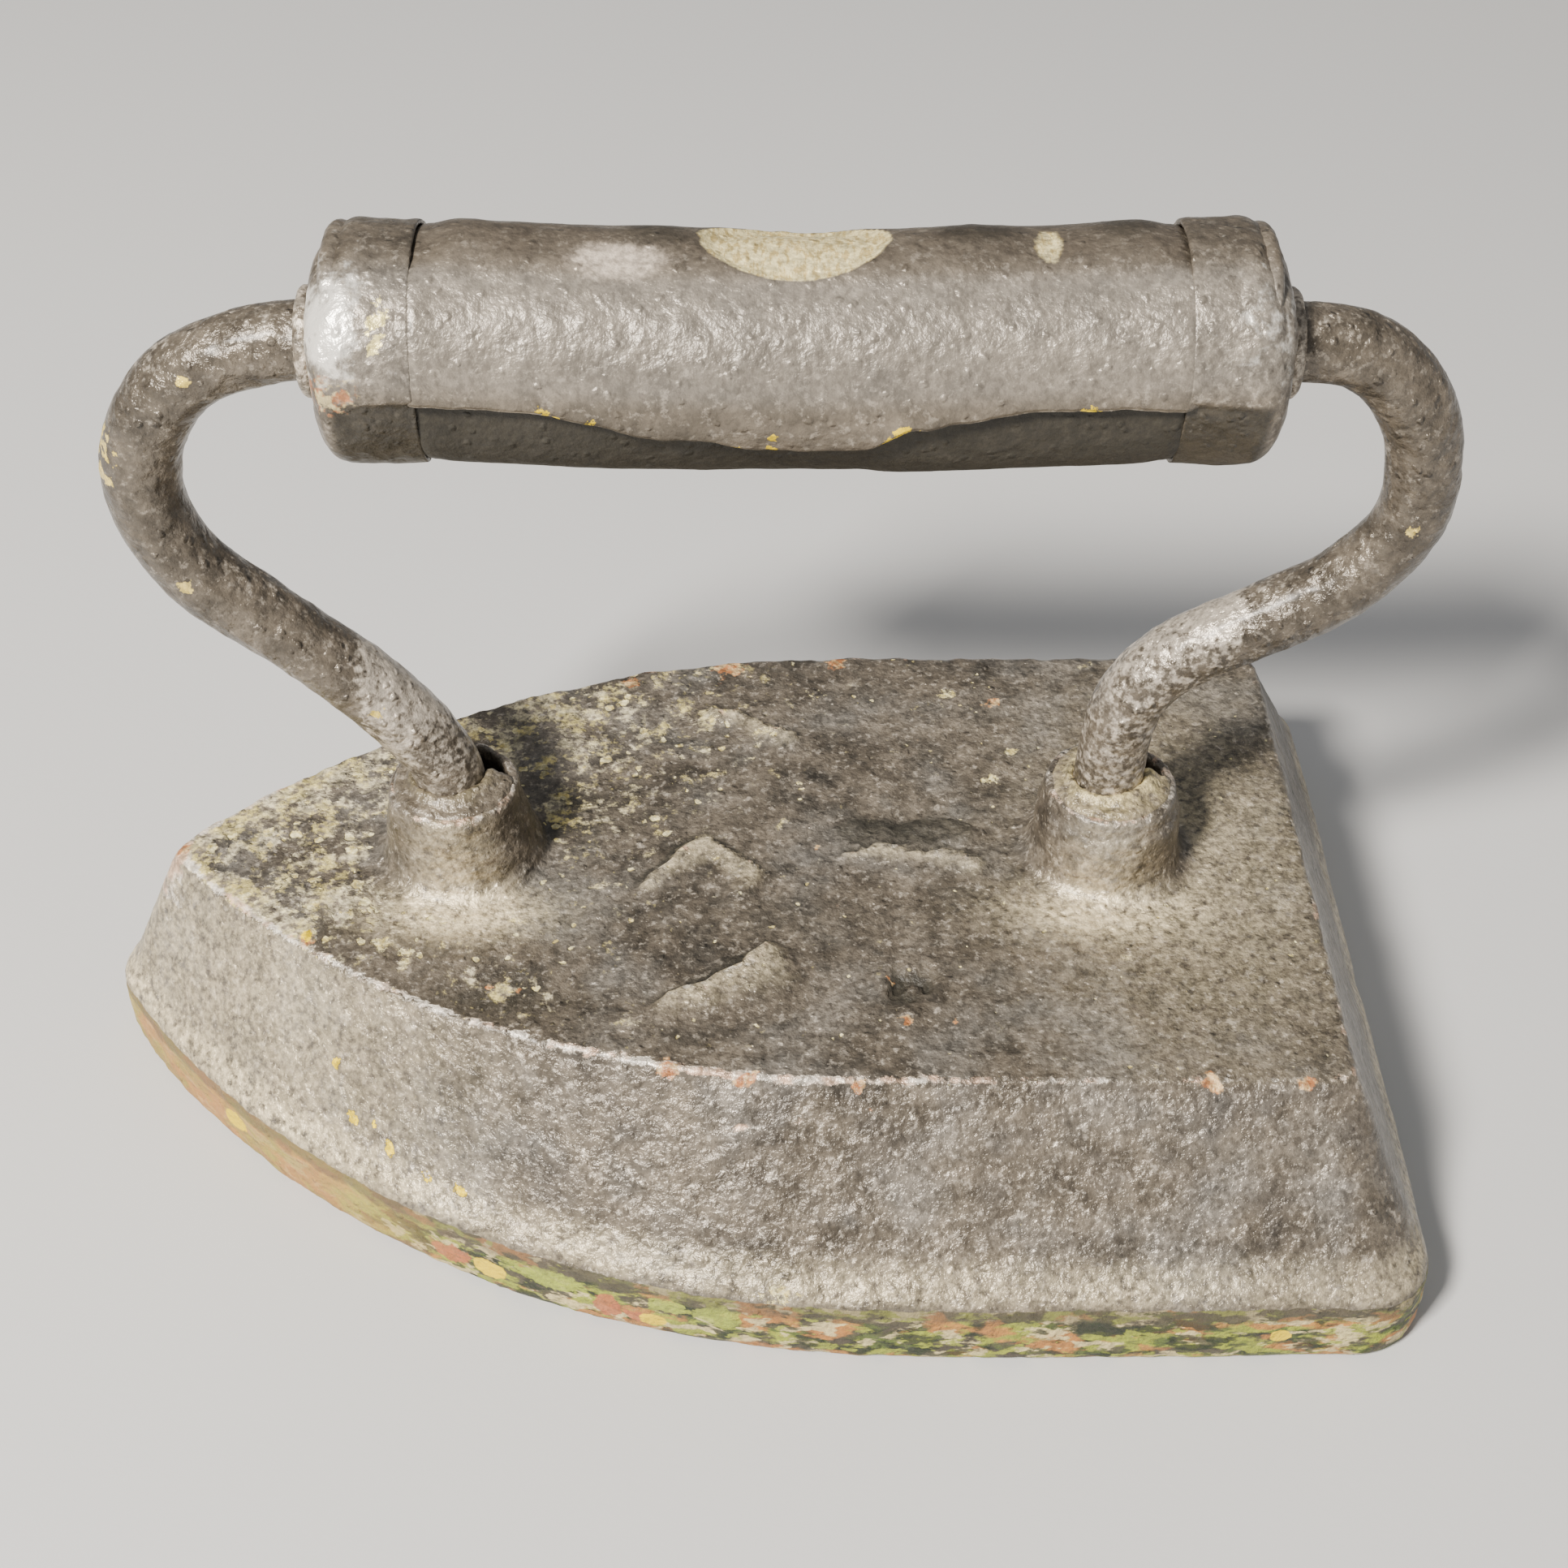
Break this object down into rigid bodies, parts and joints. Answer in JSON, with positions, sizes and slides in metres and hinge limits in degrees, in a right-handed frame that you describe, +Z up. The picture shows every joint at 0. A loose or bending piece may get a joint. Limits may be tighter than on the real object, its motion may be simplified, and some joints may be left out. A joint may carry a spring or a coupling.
{
  "type": "sad iron",
  "caption": "Antique sad iron: a heavy pointed cast body with two socket bosses, a bent round rod handle and a rolled sheet-iron grip with end caps.",
  "frame": {"origin": "on the sole's plane, under the middle of the iron's bounding box", "axes": "+X towards the square heel and -X towards the pointed toe, +Y across the sole, +Z up from the sole to the grip"},
  "size_m": [0.165, 0.113, 0.1187],
  "materials": {
    "cast_body": "thick old grey-black paint over pitted castings, with older yellow and green paint showing at the edges",
    "wrought_bar": "hammered bar under satin grey-black paint",
    "sheet_grip": "dented sheet iron under satin grey paint",
    "sheet_caps": "dented sheet iron under satin grey paint, chipped to cream",
    "collars": "painted iron rings, worn pale",
    "packing": "rough rammed packing under chipped paint"
  },
  "bodies": {
    "root": {"body_casting": "cast_body", "handle_rod": "wrought_bar", "grip_sleeve": "sheet_grip", "grip_end_cap_toe": "sheet_caps", "grip_end_cap_heel": "sheet_caps", "rod_collar_toe": "collars", "rod_collar_heel": "collars", "socket_packing_toe": "packing", "socket_packing_heel": "packing"}
  },
  "joints": []
}
